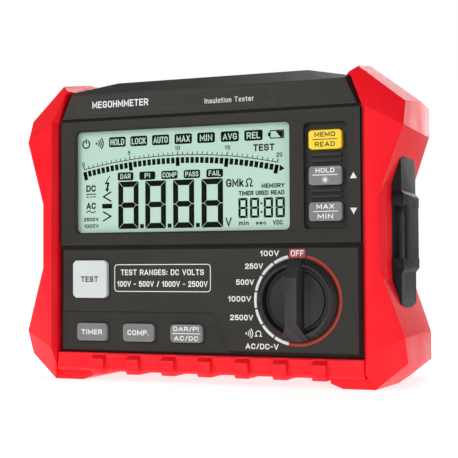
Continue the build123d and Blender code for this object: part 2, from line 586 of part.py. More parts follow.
# ---- battery bay ----
with BuildPart() as battery_tray:
    slab((-tray_half_x, tray_front_y, tray_low_z), (tray_half_x, tray_rim_y, tray_high_z))
    slab((-58.2, tray_front_y + 2, 15.4), (58.2, 60, 123.6), mode=Mode.SUBTRACT)
battery_tray.part.label = "battery_tray"
export_step(battery_tray.part, "parts/battery_tray.step")

cell_y = tray_front_y + 2.2 + cell_r
row_heights = [69.5 + cell_pitch * (i - 1.5) for i in range(4)]
with BuildPart() as battery_cells:
    for start in (-50.6, 0.0):
        for z in row_heights:
            with BuildSketch(Plane.YZ.offset(start)) as can:
                with Locations((cell_y, z)):
                    Circle(cell_r)
            extrude(can.sketch, amount=cell_long - 1.6)
            with BuildSketch(Plane.YZ.offset(start + cell_long - 1.6)) as tip:
                with Locations((cell_y, z)):
                    Circle(2.8)
            extrude(tip.sketch, amount=1.5)
battery_cells.part.label = "battery_cells"
export_step(battery_cells.part, "parts/battery_cells.step")

with BuildPart() as battery_springs:
    for z in row_heights:
        coil = Helix(pitch=1.6, height=5.6, radius=4.6, center=(-57.0, cell_y, z), direction=(1, 0, 0))
        with BuildSketch(Plane(origin=coil @ 0, z_dir=coil % 0)) as wire:
            Circle(0.45)
        sweep(wire.sketch, path=coil)
battery_springs.part.label = "battery_springs"
export_step(battery_springs.part, "parts/battery_springs.step")

with BuildPart() as battery_contacts:
    for z in row_heights:
        slab((-58.1, cell_y - 7, z - 8), (-57.7, cell_y + 7, z + 8))
        slab((57.5, cell_y - 7, z - 8), (57.9, cell_y + 7, z + 8))
        slab((49.9, cell_y - 3, z - 1.5), (57.5, cell_y + 3, z + 1.5))
battery_contacts.part.label = "battery_contacts"
export_step(battery_contacts.part, "parts/battery_contacts.step")

with BuildPart() as battery_door:
    slab((-60, door_front_y, 14), (60, rear_y, 125))
    slab((-71, door_front_y, 62), (71, rear_y, 77))
    extrude(discs(30, door_spots, 1.7), amount=-30, mode=Mode.SUBTRACT)
    extrude(discs(rear_y - 1.0, door_spots, 3.2), amount=-5, mode=Mode.SUBTRACT)
    # finger grooves near the top edge
    for i in range(5):
        slab((-20, rear_y - 0.8, 108 + 2.6 * i), (20, rear_y + 1, 109.2 + 2.6 * i), mode=Mode.SUBTRACT)
battery_door.part.label = "battery_door"
export_step(battery_door.part, "parts/battery_door.step")

with BuildPart() as door_screws:
    extrude(discs(30, door_spots, 1.5), amount=-(rear_y - 1.0 - 30))
    extrude(discs(rear_y - 1.0, door_spots, 3.0), amount=-1.6)
    for x, z in door_spots:
        slab((x - 3.2, rear_y + 0.1, z - 0.4), (x + 3.2, rear_y + 2, z + 0.4), mode=Mode.SUBTRACT)
door_screws.part.label = "door_screws"
export_step(door_screws.part, "parts/door_screws.step")

# ---- test lead sockets in the top ----
with BuildPart() as socket_block:
    slab((-46, socket_y - 9, 129), (46, socket_y + 9, 133))
    with BuildSketch(Plane.XY.offset(133)) as collars:
        with Locations(*socket_spots):
            Circle(6.8)
    extrude(collars.sketch, amount=hood_top - 133)
    with BuildSketch(Plane.XY.offset(133)) as wells:
        with Locations(*socket_spots):
            Circle(4.7)
    extrude(wells.sketch, amount=30, mode=Mode.SUBTRACT)
    with BuildSketch(Plane.XY.offset(120)) as roots:
        with Locations(*socket_spots):
            Circle(3.0)
    extrude(roots.sketch, amount=30, mode=Mode.SUBTRACT)
socket_block.part.label = "socket_block"
export_step(socket_block.part, "parts/socket_block.step")

with BuildPart() as lead_sockets:
    with BuildSketch(Plane.XY.offset(129)) as tubes:
        with Locations(*socket_spots):
            Circle(2.98)
    extrude(tubes.sketch, amount=hood_top - 2 - 129)
    with BuildSketch(Plane.XY.offset(133)) as bores:
        with Locations(*socket_spots):
            Circle(socket_bore_r)
    extrude(bores.sketch, amount=30, mode=Mode.SUBTRACT)
lead_sockets.part.label = "lead_sockets"
export_step(lead_sockets.part, "parts/lead_sockets.step")
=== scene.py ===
import json
import math
import bpy
import bmesh
from mathutils import Matrix, Vector

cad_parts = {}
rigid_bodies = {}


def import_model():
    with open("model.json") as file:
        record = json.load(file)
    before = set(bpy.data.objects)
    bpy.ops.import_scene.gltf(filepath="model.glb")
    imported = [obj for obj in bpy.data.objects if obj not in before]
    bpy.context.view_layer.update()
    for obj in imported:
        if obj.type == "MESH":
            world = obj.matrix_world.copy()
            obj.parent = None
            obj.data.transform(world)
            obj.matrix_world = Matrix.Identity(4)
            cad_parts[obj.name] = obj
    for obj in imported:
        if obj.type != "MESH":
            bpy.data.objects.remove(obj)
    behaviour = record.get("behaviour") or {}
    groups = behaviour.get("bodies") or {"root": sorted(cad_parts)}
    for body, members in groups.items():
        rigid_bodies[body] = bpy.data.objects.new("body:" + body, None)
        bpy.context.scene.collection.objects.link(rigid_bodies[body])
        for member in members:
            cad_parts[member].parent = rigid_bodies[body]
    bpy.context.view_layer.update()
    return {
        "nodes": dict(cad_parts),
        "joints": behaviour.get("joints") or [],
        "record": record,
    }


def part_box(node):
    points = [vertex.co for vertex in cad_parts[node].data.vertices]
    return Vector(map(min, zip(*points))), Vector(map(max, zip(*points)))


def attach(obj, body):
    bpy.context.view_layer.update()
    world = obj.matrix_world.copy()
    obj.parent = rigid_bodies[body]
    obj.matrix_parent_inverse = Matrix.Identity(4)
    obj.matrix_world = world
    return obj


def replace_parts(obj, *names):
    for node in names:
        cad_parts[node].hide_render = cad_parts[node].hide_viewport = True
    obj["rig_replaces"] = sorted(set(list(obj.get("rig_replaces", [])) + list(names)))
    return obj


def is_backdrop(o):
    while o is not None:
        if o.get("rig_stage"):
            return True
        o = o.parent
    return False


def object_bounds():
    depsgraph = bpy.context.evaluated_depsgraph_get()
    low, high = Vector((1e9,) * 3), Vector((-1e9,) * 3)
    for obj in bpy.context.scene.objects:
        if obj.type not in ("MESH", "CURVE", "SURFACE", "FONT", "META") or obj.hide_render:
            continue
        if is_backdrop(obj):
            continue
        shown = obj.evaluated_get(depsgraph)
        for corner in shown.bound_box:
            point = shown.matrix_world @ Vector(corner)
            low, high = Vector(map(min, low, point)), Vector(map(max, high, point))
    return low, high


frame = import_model()

MM = 0.001
NODES = frame["nodes"]
SLOT_OF = {part["node"]: part["material_slot"] for part in frame["record"]["subparts"]}
JOINTS = {joint["name"]: joint for joint in frame["joints"]}
BODY_OF = {node: body for body, members in frame["record"]["behaviour"]["bodies"].items() for node in members}

# ---- places on the object, in millimetres, most of them taken from the frame ----
panel_y = -34.0                             # face of the display and control fields
glass_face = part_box("display_glass")[0][1] / MM
window_low, window_high = [Vector(corner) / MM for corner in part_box("display_window")]
hood_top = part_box("front_cover")[1][2] / MM
dial_x, _, dial_z = [value / MM for value in JOINTS["knob_turn"]["pos_m"]]
print_thick = 0.06


# =====================================================================
# finishes
# =====================================================================
def node_adder(tree):
    """A function that adds a node to a tree, with its settings, and its inputs linked or given values."""
    def add(kind, links=None, **settings):
        made = tree.nodes.new(kind)
        for key, value in settings.items():
            setattr(made, key, value)
        for socket, value in (links or {}).items():
            if isinstance(value, bpy.types.NodeSocket):
                tree.links.new(value, made.inputs[socket])
            else:
                made.inputs[socket].default_value = value
        return made

    return add


def start_finish(name):
    """A material with its shader, and functions that add and join its nodes."""
    material = bpy.data.materials.new(name)
    material.use_nodes = True
    tree = material.node_tree
    shader = tree.nodes["Principled BSDF"]

    def join(source, target):
        tree.links.new(source, target)

    return material, shader, node_adder(tree), join


def set_plain(shader, **values):
    """Uniform values straight on the shader's own sockets."""
    names = {"specular": "Specular IOR Level", "metal": "Metallic", "alpha": "Alpha",
             "glow": "Emission Strength"}
    for key, value in values.items():
        shader.inputs[names[key]].default_value = value


def moulding(name, colour, worn_and_highlight, rough, grain=0.5, bump=0.25, mottle=9.0, rough_swing=0.08, wear_and_highlight=0.35,
             depth=0.00012, soft_edge=0.0, coarse_below=None, **plain):
    """Moulded plastic or rubber: fine grain, slow colour drift, and convex edges turned towards a paler
    colour, partly as rubbed wear and partly as a painted edge highlight.

    soft_edge is the radius in millimetres that a hard edge is shaded with, and coarse_below the height
    under which the grain is at its full depth.
    """
    material, shader, add, join = start_finish(name)
    place = add("ShaderNodeTexCoord").outputs["Object"]
    fine = add("ShaderNodeTexNoise", {"Vector": place, "Scale": 1.0 / (grain * MM), "Detail": 3.0,
                                      "Roughness": 0.6})
    slow = add("ShaderNodeTexNoise", {"Vector": place, "Scale": 1.0 / (mottle * MM), "Detail": 5.0,
                                      "Roughness": 0.65})
    drift = add("ShaderNodeMapRange", {"Value": slow.outputs["Fac"], "From Min": 0.35, "From Max": 0.68,
                                       "To Min": 0.0, "To Max": 0.16})
    # painted highlight: convex edges found by pointiness go towards the paler second colour, partly as rubbed
    # wear and partly as a painted edge highlight
    edge = add("ShaderNodeMapRange", {"Value": add("ShaderNodeNewGeometry").outputs["Pointiness"],
                                      "From Min": 0.505, "From Max": 0.60, "To Min": 0.0, "To Max": wear_and_highlight})
    share = add("ShaderNodeMath", {0: drift.outputs[0], 1: edge.outputs[0]}, operation="ADD", use_clamp=True)
    mix = add("ShaderNodeMix", {"Factor": share.outputs[0]}, data_type="RGBA")
    mix.inputs["A"].default_value = (*colour, 1)
    mix.inputs["B"].default_value = (*worn_and_highlight, 1)
    join(mix.outputs["Result"], shader.inputs["Base Color"])
    gloss = add("ShaderNodeMapRange", {"Value": slow.outputs["Fac"], "From Min": 0.3, "From Max": 0.7,
                                       "To Min": rough - rough_swing, "To Max": rough + rough_swing})
    join(gloss.outputs[0], shader.inputs["Roughness"])
    relief = add("ShaderNodeBump", {"Height": fine.outputs["Fac"], "Strength": bump, "Distance": depth})
    if soft_edge:
        rounding = add("ShaderNodeBevel", {"Radius": soft_edge * MM}, samples=6)
        join(rounding.outputs[0], relief.inputs["Normal"])
    if coarse_below is not None:
        height = add("ShaderNodeSeparateXYZ", {"Vector": place}).outputs["Z"]
        zone = add("ShaderNodeMapRange", {"Value": height, "From Min": (coarse_below - 0.4) * MM,
                                          "From Max": (coarse_below + 0.4) * MM, "To Min": 1.0,
                                          "To Max": bump})
        join(zone.outputs[0], relief.inputs["Strength"])
    join(relief.outputs["Normal"], shader.inputs["Normal"])
    set_plain(shader, **plain)
    return material


def plated(name, colour, rough, scratch=0.4, across=(1, 1, 1)):
    """Plated or turned metal with fine directional scratches."""
    material, shader, add, join = start_finish(name)
    place = add("ShaderNodeTexCoord").outputs["Object"]
    stretched = add("ShaderNodeMapping", {"Vector": place, "Scale": across})
    lines = add("ShaderNodeTexNoise", {"Vector": stretched.outputs[0], "Scale": 1.0 / (scratch * MM),
                                       "Detail": 4.0, "Roughness": 0.7})
    gloss = add("ShaderNodeMapRange", {"Value": lines.outputs["Fac"], "From Min": 0.3, "From Max": 0.7,
                                       "To Min": rough * 0.7, "To Max": rough * 1.4})
    join(gloss.outputs[0], shader.inputs["Roughness"])
    tone = add("ShaderNodeMix", {"Factor": lines.outputs["Fac"]}, data_type="RGBA")
    tone.inputs["A"].default_value = (*[c * 0.8 for c in colour], 1)
    tone.inputs["B"].default_value = (*colour, 1)
    join(tone.outputs["Result"], shader.inputs["Base Color"])
    relief = add("ShaderNodeBump", {"Height": lines.outputs["Fac"], "Strength": 0.15, "Distance": 0.00005})
    join(relief.outputs["Normal"], shader.inputs["Normal"])
    set_plain(shader, metal=1.0)
    return material


def ink(name, colour, rough=0.5):
    """Printed ink with a slightly uneven film."""
    return moulding(name, colour, [c * 0.72 for c in colour], rough, grain=0.25, bump=0.12, mottle=2.5,
                    wear_and_highlight=0.05, depth=0.00003)


def display_sheet(name):
    """The display's pale green polariser: nearly flat, a little darker towards the top, with a faint painted
    glow of its own.
    """
    material, shader, add, join = start_finish(name)
    place = add("ShaderNodeTexCoord").outputs["Object"]
    height = add("ShaderNodeSeparateXYZ", {"Vector": place}).outputs["Z"]
    rise = add("ShaderNodeMapRange", {"Value": height, "From Min": window_low.z * MM,
                                      "From Max": window_high.z * MM, "To Min": 0.0, "To Max": 1.0})
    tone = add("ShaderNodeMix", {"Factor": rise.outputs[0]}, data_type="RGBA")
    tone.inputs["A"].default_value = (0.58, 0.80, 0.69, 1)
    tone.inputs["B"].default_value = (0.50, 0.72, 0.61, 1)
    specks = add("ShaderNodeTexNoise", {"Vector": place, "Scale": 2500.0, "Detail": 2.0})
    join(tone.outputs["Result"], shader.inputs["Base Color"])
    gloss = add("ShaderNodeMapRange", {"Value": specks.outputs["Fac"], "From Min": 0.3, "From Max": 0.7,
                                       "To Min": 0.42, "To Max": 0.55})
    join(gloss.outputs[0], shader.inputs["Roughness"])
    relief = add("ShaderNodeBump", {"Height": specks.outputs["Fac"], "Strength": 0.05, "Distance": 0.00003})
    join(relief.outputs["Normal"], shader.inputs["Normal"])
    # painted glow: a faint pale green light given off by the polariser itself
    shader.inputs["Emission Color"].default_value = (0.50, 0.70, 0.60, 1)
    set_plain(shader, specular=0.1, glow=0.08)
    return material


def clear_sheet(name, tint, alpha):
    """A clear polished window, with faint polishing haze in its gloss."""
    material, shader, add, join = start_finish(name)
    place = add("ShaderNodeTexCoord").outputs["Object"]
    haze = add("ShaderNodeTexNoise", {"Vector": place, "Scale": 160.0, "Detail": 3.0})
    gloss = add("ShaderNodeMapRange", {"Value": haze.outputs["Fac"], "From Min": 0.3, "From Max": 0.7,
                                       "To Min": 0.05, "To Max": 0.12})
    join(gloss.outputs[0], shader.inputs["Roughness"])
    shader.inputs["Base Color"].default_value = (*tint, 1)
    set_plain(shader, alpha=alpha, specular=0.1)
    return material


def board_finish(name):
    """Green solder mask with copper tracks under it."""
    material, shader, add, join = start_finish(name)
    place = add("ShaderNodeTexCoord").outputs["Object"]
    tracks = add("ShaderNodeTexBrick", {"Vector": place, "Scale": 180.0, "Mortar Size": 0.03})
    tracks.inputs["Color1"].default_value = (0.010, 0.10, 0.04, 1)
    tracks.inputs["Color2"].default_value = (0.012, 0.13, 0.05, 1)
    tracks.inputs["Mortar"].default_value = (0.03, 0.24, 0.09, 1)
    join(tracks.outputs["Color"], shader.inputs["Base Color"])
    relief = add("ShaderNodeBump", {"Height": tracks.outputs["Fac"], "Strength": 0.3, "Distance": 0.00004})
    join(relief.outputs["Normal"], shader.inputs["Normal"])
    grime = add("ShaderNodeTexNoise", {"Vector": place, "Scale": 300.0})
    gloss = add("ShaderNodeMapRange", {"Value": grime.outputs["Fac"], "To Min": 0.2, "To Max": 0.45})
    join(gloss.outputs[0], shader.inputs["Roughness"])
    return material


# each moulding's second colour is where its slow drift and its edges go; on the edges it is partly wear and
# partly a painted highlight, pinkish on the guard
FINISH = {
    "case_plastic": moulding("case_grained_black", (0.018, 0.0172, 0.0145), (0.058, 0.056, 0.049), 0.48,
                             grain=0.42, bump=0.30, mottle=30, wear_and_highlight=0.25, soft_edge=0.35, specular=0.22),
    "guard_rubber": moulding("guard_red_overmould", (0.98, 0.002, 0.012), (1.0, 0.028, 0.045), 0.42,
                             grain=0.55, bump=0.14, mottle=24, wear_and_highlight=0.25, coarse_below=15.5,
                             specular=0.28),
    "lug_plastic": moulding("lug_satin_black", (0.010, 0.0115, 0.014), (0.035, 0.038, 0.042), 0.50, grain=0.5,
                            bump=0.12, mottle=16, wear_and_highlight=0.40, specular=0.14),
    "seal_rubber": moulding("seal_black_rubber", (0.02, 0.02, 0.02), (0.06, 0.06, 0.06), 0.7),
    "screw_steel": plated("screw_zinc", (0.62, 0.62, 0.63), 0.32),
    "spring_steel": plated("contact_nickel", (0.70, 0.68, 0.64), 0.28, across=(1, 1, 4)),
    "clear_window": clear_sheet("window_clear", (0.02, 0.025, 0.022), 0.04),
    "display_glass": display_sheet("display_pale_green"),
    "light_guide": moulding("light_guide_milky", (0.82, 0.84, 0.83), (0.9, 0.9, 0.9), 0.3, bump=0.05),
    "white_plastic": moulding("white_moulding", (0.66, 0.66, 0.63), (0.8, 0.8, 0.78), 0.5),
    "board_laminate": board_finish("board_green"),
    "switch_plastic": moulding("switch_black", (0.03, 0.03, 0.033), (0.10, 0.10, 0.10), 0.5),
    "socket_metal": plated("socket_brass", (0.80, 0.62, 0.32), 0.22, across=(1, 1, 6)),
    "cell_wrap": moulding("cell_printed_sleeve", (0.55, 0.40, 0.07), (0.75, 0.62, 0.25), 0.35, bump=0.05),
    "core_iron": plated("core_laminated_iron", (0.24, 0.22, 0.20), 0.5, across=(1, 12, 1)),
    "copper_wire": plated("winding_enamelled_copper", (0.72, 0.30, 0.12), 0.3, across=(1, 1, 10)),
    "potting_resin": moulding("potting_blue_resin", (0.03, 0.06, 0.22), (0.08, 0.12, 0.32), 0.3, bump=0.1),
    "capacitor_can": plated("capacitor_sleeve", (0.10, 0.12, 0.22), 0.35),
    "fuse_glass": clear_sheet("fuse_clear", (0.9, 0.94, 0.92), 0.35),
    "chip_resin": moulding("chip_black_resin", (0.02, 0.02, 0.02), (0.06, 0.06, 0.06), 0.6, bump=0.2),
    "knob_plastic": moulding("knob_satin_black", (0.010, 0.0105, 0.0115), (0.065, 0.067, 0.07), 0.34,
                             grain=0.45, bump=0.12, mottle=18, wear_and_highlight=0.35, specular=0.3),
    "test_key_plastic": moulding("test_key_grey_white", (0.64, 0.69, 0.68), (0.80, 0.83, 0.82), 0.42,
                                 grain=0.35, bump=0.10, mottle=14, wear_and_highlight=0.3),
    "memory_key_plastic": moulding("memory_key_yellow", (1.0, 0.68, 0.012), (1.0, 0.82, 0.12), 0.40,
                                   grain=0.35, bump=0.10, mottle=12, wear_and_highlight=0.3),
    "grey_key_plastic": moulding("key_mid_grey", (0.175, 0.19, 0.188), (0.36, 0.38, 0.38), 0.42, grain=0.35,
                                 bump=0.10, mottle=12, wear_and_highlight=0.5),
}
INK_WHITE = ink("ink_white", (0.86, 0.87, 0.86))
INK_RED = ink("ink_dial_red", (0.43, 0.045, 0.025))
INK_DARK = ink("ink_dark_grey", (0.02, 0.022, 0.022))
INK_BROWN = ink("ink_dark_brown", (0.045, 0.026, 0.004))
INK_GREY = ink("ink_mid_grey", (0.13, 0.135, 0.13))
INK_SEGMENT = ink("display_segment_black", (0.004, 0.006, 0.005), rough=0.75)
INK_SEGMENT.node_tree.nodes["Principled BSDF"].inputs["Specular IOR Level"].default_value = 0.08
INK_GREEN = ink("ink_socket_green", (0.02, 0.22, 0.06))
INK_YELLOW = ink("ink_socket_yellow", (0.80, 0.52, 0.02))


# =====================================================================
# shared shape helpers
# =====================================================================
def finished(name, mesh, material, body, stands_for=()):
    """Puts a mesh in the scene at the origin and hands it to a body."""
    piece = bpy.data.objects.new(name, mesh)
    bpy.context.collection.objects.link(piece)
    if material is not None:
        mesh.materials.clear()
        mesh.materials.append(material)
    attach(piece, body)
    if stands_for:
        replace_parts(piece, *stands_for)
    return piece


def baked(piece):
    """The evaluated mesh of a temporary object, which is then removed."""
    graph = bpy.context.evaluated_depsgraph_get()
    mesh = bpy.data.meshes.new_from_object(piece.evaluated_get(graph), preserve_all_data_layers=True,
                                           depsgraph=graph)
    bpy.data.objects.remove(piece)
    return mesh


def eased(node, width, steps=3, corner_degrees=22.0):
    """A copy of a CAD node with its loose triangles joined and every hard edge rounded off."""
    mesh = NODES[node].data.copy()
    work = bmesh.new()
    work.from_mesh(mesh)
    bmesh.ops.remove_doubles(work, verts=work.verts, dist=0.004 * MM)
    bmesh.ops.dissolve_limit(work, angle_limit=math.radians(0.6), verts=work.verts, edges=work.edges)
    work.to_mesh(mesh)
    work.free()
    for polygon in mesh.polygons:
        polygon.use_smooth = True
    piece = bpy.data.objects.new(node + "_draft", mesh)
    bpy.context.collection.objects.link(piece)
    bevel = piece.modifiers.new("edges", "BEVEL")
    bevel.width = width * MM
    bevel.segments = steps
    bevel.limit_method = "ANGLE"
    bevel.angle_limit = math.radians(corner_degrees)
    bevel.use_clamp_overlap = True
    bevel.harden_normals = True
    bevel.miter_outer = "MITER_ARC"
    return baked(piece)


def eased_node(node, width, steps=3, corner_degrees=22.0):
    """Shows a CAD node as its own rounded copy in its slot's finish."""
    slot = SLOT_OF[node]
    return finished(node + "_shell", eased(node, width, steps, corner_degrees), FINISH[slot],
                    BODY_OF[node], [node])


# A print is drawn flat in (across, up) millimetres, then stood on the front or left lying on the top.
FRONT = Matrix(((1, 0, 0, 0), (0, 0, -1, 0), (0, 1, 0, 0), (0, 0, 0, 1)))
TOP = Matrix.Identity(4)

# A glyph is its width and its strokes, both in letter heights.
GLYPH_GAP = 0.34
BOWL = ("curve", [(0, 1), (0.40, 1), (0.60, 0.93), (0.60, 0.52), (0.40, 0.45), (0, 0.45)])
OVAL = ("loop", [(0.15, 0), (0.49, 0), (0.64, 0.2), (0.64, 0.8), (0.49, 1), (0.15, 1), (0, 0.8), (0, 0.2)])
RING = ("loop", [(0.12, 0), (0.34, 0), (0.46, 0.2), (0.46, 0.5), (0.34, 0.7), (0.12, 0.7), (0, 0.5),
                 (0, 0.2)])
STEM, SHORT_STEM = ("line", [(0, 0), (0, 1)]), ("line", [(0, 0), (0, 0.7)])
GLYPHS = {
    " ": (0.20, []),
    "A": (0.72, [("line", [(0, 0), (0.36, 1), (0.72, 0)]), ("line", [(0.14, 0.28), (0.58, 0.28)])]),
    "C": (0.60, [("curve", [(0.60, 0.76), (0.50, 1), (0.14, 1), (0, 0.8), (0, 0.2), (0.14, 0), (0.50, 0),
                            (0.60, 0.24)])]),
    "D": (0.60, [STEM, ("curve", [(0, 1), (0.38, 1), (0.60, 0.86), (0.60, 0.14), (0.38, 0), (0, 0)])]),
    "E": (0.50, [("line", [(0.50, 1), (0, 1), (0, 0), (0.50, 0)]), ("line", [(0, 0.52), (0.44, 0.52)])]),
    "F": (0.50, [("line", [(0.50, 1), (0, 1), (0, 0)]), ("line", [(0, 0.50), (0.44, 0.50)])]),
    "G": (0.62, [("curve", [(0.60, 0.78), (0.50, 1), (0.14, 1), (0, 0.8), (0, 0.2), (0.14, 0), (0.50, 0),
                            (0.62, 0.12), (0.62, 0.45)]), ("line", [(0.62, 0.44), (0.38, 0.44)])]),
    "H": (0.58, [STEM, ("line", [(0.58, 0), (0.58, 1)]), ("line", [(0, 0.5), (0.58, 0.5)])]),
    "I": (0.04, [("line", [(0.02, 0), (0.02, 1)])]),
    "K": (0.58, [STEM, ("line", [(0.58, 1), (0.02, 0.38)]), ("line", [(0.22, 0.58), (0.60, 0)])]),
    "L": (0.48, [("line", [(0, 1), (0, 0), (0.48, 0)])]),
    "M": (0.76, [("line", [(0, 0), (0, 1), (0.38, 0.22), (0.76, 1), (0.76, 0)])]),
    "N": (0.60, [("line", [(0, 0), (0, 1), (0.60, 0), (0.60, 1)])]),
    "O": (0.64, [OVAL]),
    "P": (0.58, [STEM, BOWL]),
    "R": (0.60, [STEM, BOWL, ("line", [(0.34, 0.45), (0.60, 0)])]),
    "S": (0.58, [("curve", [(0.56, 0.78), (0.48, 1), (0.12, 1), (0.01, 0.88), (0.01, 0.58), (0.14, 0.52),
                            (0.44, 0.48), (0.58, 0.40), (0.58, 0.12), (0.46, 0), (0.10, 0), (0, 0.22)])]),
    "T": (0.58, [("line", [(0, 1), (0.58, 1)]), ("line", [(0.29, 1), (0.29, 0)])]),
    "U": (0.60, [("curve", [(0, 1), (0, 0.18), (0.14, 0), (0.46, 0), (0.60, 0.18), (0.60, 1)])]),
    "V": (0.66, [("line", [(0, 1), (0.33, 0), (0.66, 1)])]),
    "X": (0.60, [("line", [(0, 0), (0.60, 1)]), ("line", [(0, 1), (0.60, 0)])]),
    "Y": (0.60, [("line", [(0, 1), (0.30, 0.46), (0.60, 1)]), ("line", [(0.30, 0.46), (0.30, 0)])]),
    "0": (0.54, [("loop", [(x * 0.84, y) for x, y in OVAL[1]])]),
    "1": (0.26, [("line", [(0, 0.76), (0.22, 1), (0.22, 0)])]),
    "2": (0.54, [("curve", [(0, 0.76), (0.08, 1), (0.46, 1), (0.56, 0.84), (0.54, 0.60), (0.02, 0.06)]),
                 ("line", [(0, 0), (0.54, 0)])]),
    "5": (0.54, [("line", [(0.50, 1), (0.08, 1), (0.03, 0.54)]),
                 ("curve", [(0.03, 0.54), (0.16, 0.64), (0.44, 0.64), (0.55, 0.50), (0.55, 0.14), (0.44, 0),
                            (0.10, 0), (0, 0.18)])]),
    "/": (0.34, [("line", [(0, -0.02), (0.34, 1.02)])]),
    "-": (0.30, [("line", [(0, 0.46), (0.30, 0.46)])]),
    ":": (0.06, [("line", [(0.03, 0.10), (0.03, 0.13)]), ("line", [(0.03, 0.62), (0.03, 0.65)])]),
    ".": (0.06, [("line", [(0.03, 0.0), (0.03, 0.03)])]),
    "a": (0.46, [RING, ("line", [(0.46, 0.7), (0.46, 0)])]),
    "c": (0.44, [("curve", [(0.44, 0.54), (0.34, 0.7), (0.12, 0.7), (0, 0.5), (0, 0.2), (0.12, 0), (0.34, 0),
                            (0.44, 0.16)])]),
    "e": (0.48, [("curve", [(0.03, 0.36), (0.47, 0.36), (0.46, 0.58), (0.34, 0.7), (0.12, 0.7), (0, 0.5),
                            (0, 0.2), (0.12, 0), (0.36, 0), (0.46, 0.13)])]),
    "i": (0.04, [("line", [(0.02, 0), (0.02, 0.7)]), ("line", [(0.02, 0.92), (0.02, 0.97)])]),
    "k": (0.42, [STEM, ("line", [(0.40, 0.7), (0.02, 0.26)]), ("line", [(0.16, 0.42), (0.43, 0)])]),
    "l": (0.04, [("line", [(0.02, 0), (0.02, 1)])]),
    "m": (0.72, [SHORT_STEM, ("curve", [(0, 0.45), (0.06, 0.7), (0.32, 0.7), (0.36, 0.5), (0.36, 0)]),
                 ("curve", [(0.36, 0.45), (0.42, 0.7), (0.68, 0.7), (0.72, 0.5), (0.72, 0)])]),
    "n": (0.42, [SHORT_STEM, ("curve", [(0, 0.45), (0.08, 0.7), (0.36, 0.7), (0.42, 0.5), (0.42, 0)])]),
    "o": (0.46, [RING]),
    "r": (0.26, [SHORT_STEM, ("curve", [(0, 0.42), (0.06, 0.68), (0.26, 0.7)])]),
    "s": (0.42, [("curve", [(0.40, 0.55), (0.32, 0.7), (0.08, 0.7), (0.01, 0.58), (0.04, 0.42), (0.38, 0.30),
                            (0.42, 0.12), (0.32, 0), (0.08, 0), (0, 0.14)])]),
    "t": (0.28, [("curve", [(0.11, 0.95), (0.11, 0.08), (0.28, 0)]), ("line", [(0, 0.68), (0.27, 0.68)])]),
    "u": (0.42, [("curve", [(0, 0.7), (0, 0.12), (0.10, 0), (0.34, 0), (0.42, 0.22)]),
                 ("line", [(0.42, 0.7), (0.42, 0)])]),
}


def softened(points, closed, rounds=2):
    """Cuts the corners of a line, once per round, and keeps the ends of an open one."""
    for _ in range(rounds):
        pairs = list(zip(points, points[1:] + points[:1])) if closed else list(zip(points, points[1:]))
        cut = [(a[0] + (b[0] - a[0]) * t, a[1] + (b[1] - a[1]) * t) for a, b in pairs for t in (0.25, 0.75)]
        points = cut if closed else [points[0], *cut[1:-1], points[-1]]
    return points


